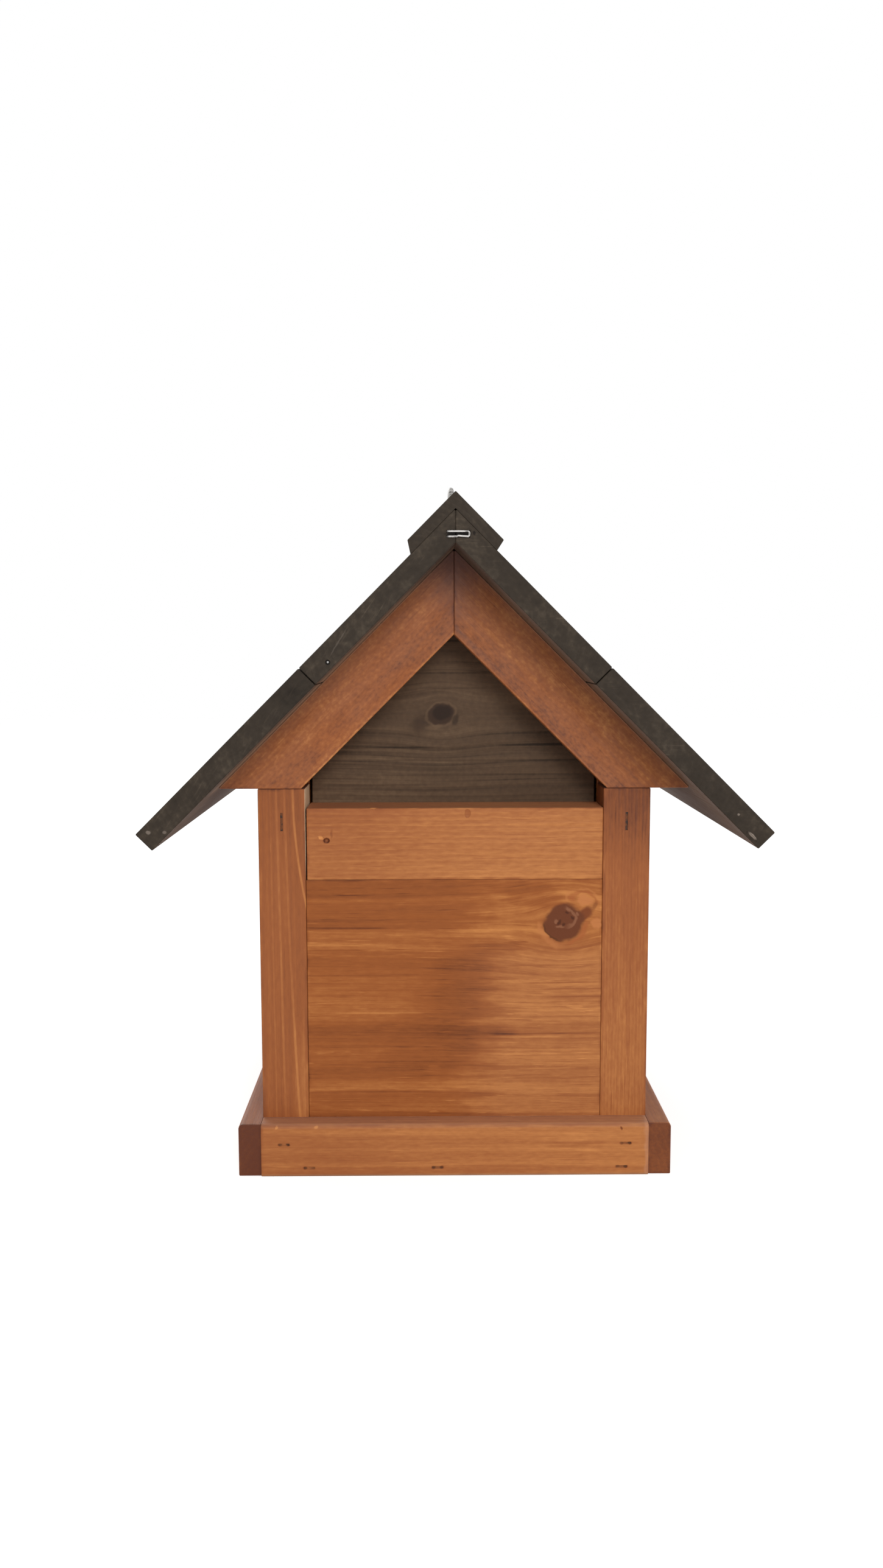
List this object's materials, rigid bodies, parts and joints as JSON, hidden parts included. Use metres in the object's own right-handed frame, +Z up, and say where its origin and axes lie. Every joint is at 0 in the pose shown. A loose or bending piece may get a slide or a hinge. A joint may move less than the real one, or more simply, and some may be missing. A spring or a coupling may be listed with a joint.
{
  "type": "birdhouse",
  "caption": "Wooden birdhouse: a box of stout boards between corner posts, with a skirted foot, a round entrance in one gable and a steep plank roof that lifts off.",
  "frame": {"origin": "on the ground under the middle of the house", "axes": "+Z up, -Y towards the plain gable, +Y towards the gable with the entrance"},
  "size_m": [0.307, 0.2782, 0.3622],
  "materials": {
    "amber_stain": "satin wood stain",
    "charcoal_stain": "matt dark wood stain",
    "bare_pine": "bare sawn pine",
    "zinc_wire": "galvanised wire"
  },
  "bodies": {
    "house": {"front_skirt": "amber_stain", "rear_skirt": "amber_stain", "left_skirt": "amber_stain", "right_skirt": "amber_stain", "front_left_post": "amber_stain", "front_right_post": "amber_stain", "rear_left_post": "amber_stain", "rear_right_post": "amber_stain", "front_rail": "amber_stain", "rear_rail": "amber_stain", "front_panel": "amber_stain", "rear_panel": "amber_stain", "left_lower_wall": "amber_stain", "left_upper_wall": "amber_stain", "right_lower_wall": "amber_stain", "right_upper_wall": "amber_stain", "floor_board": "bare_pine", "post_staples": "zinc_wire", "frame_staples": "zinc_wire", "skirt_staples": "zinc_wire"},
    "roof": {"front_left_rafter": "amber_stain", "front_right_rafter": "amber_stain", "rear_left_rafter": "amber_stain", "rear_right_rafter": "amber_stain", "front_gable_board": "charcoal_stain", "rear_gable_board": "charcoal_stain", "left_upper_plank": "charcoal_stain", "left_lower_plank": "charcoal_stain", "right_upper_plank": "charcoal_stain", "right_lower_plank": "charcoal_stain", "ridge_cap": "charcoal_stain", "ridge_beam": "bare_pine", "plank_staples": "zinc_wire", "gable_staples": "zinc_wire", "ridge_clips": "zinc_wire", "cap_pins": "zinc_wire", "plank_brad": "zinc_wire", "hanging_eye": "zinc_wire"}
  },
  "joints": [
    {"name": "roof_lift", "type": "slide", "parent": "house", "child": "roof", "axis": [0, 0, 1], "range_m": [0, 0.12]}
  ]
}
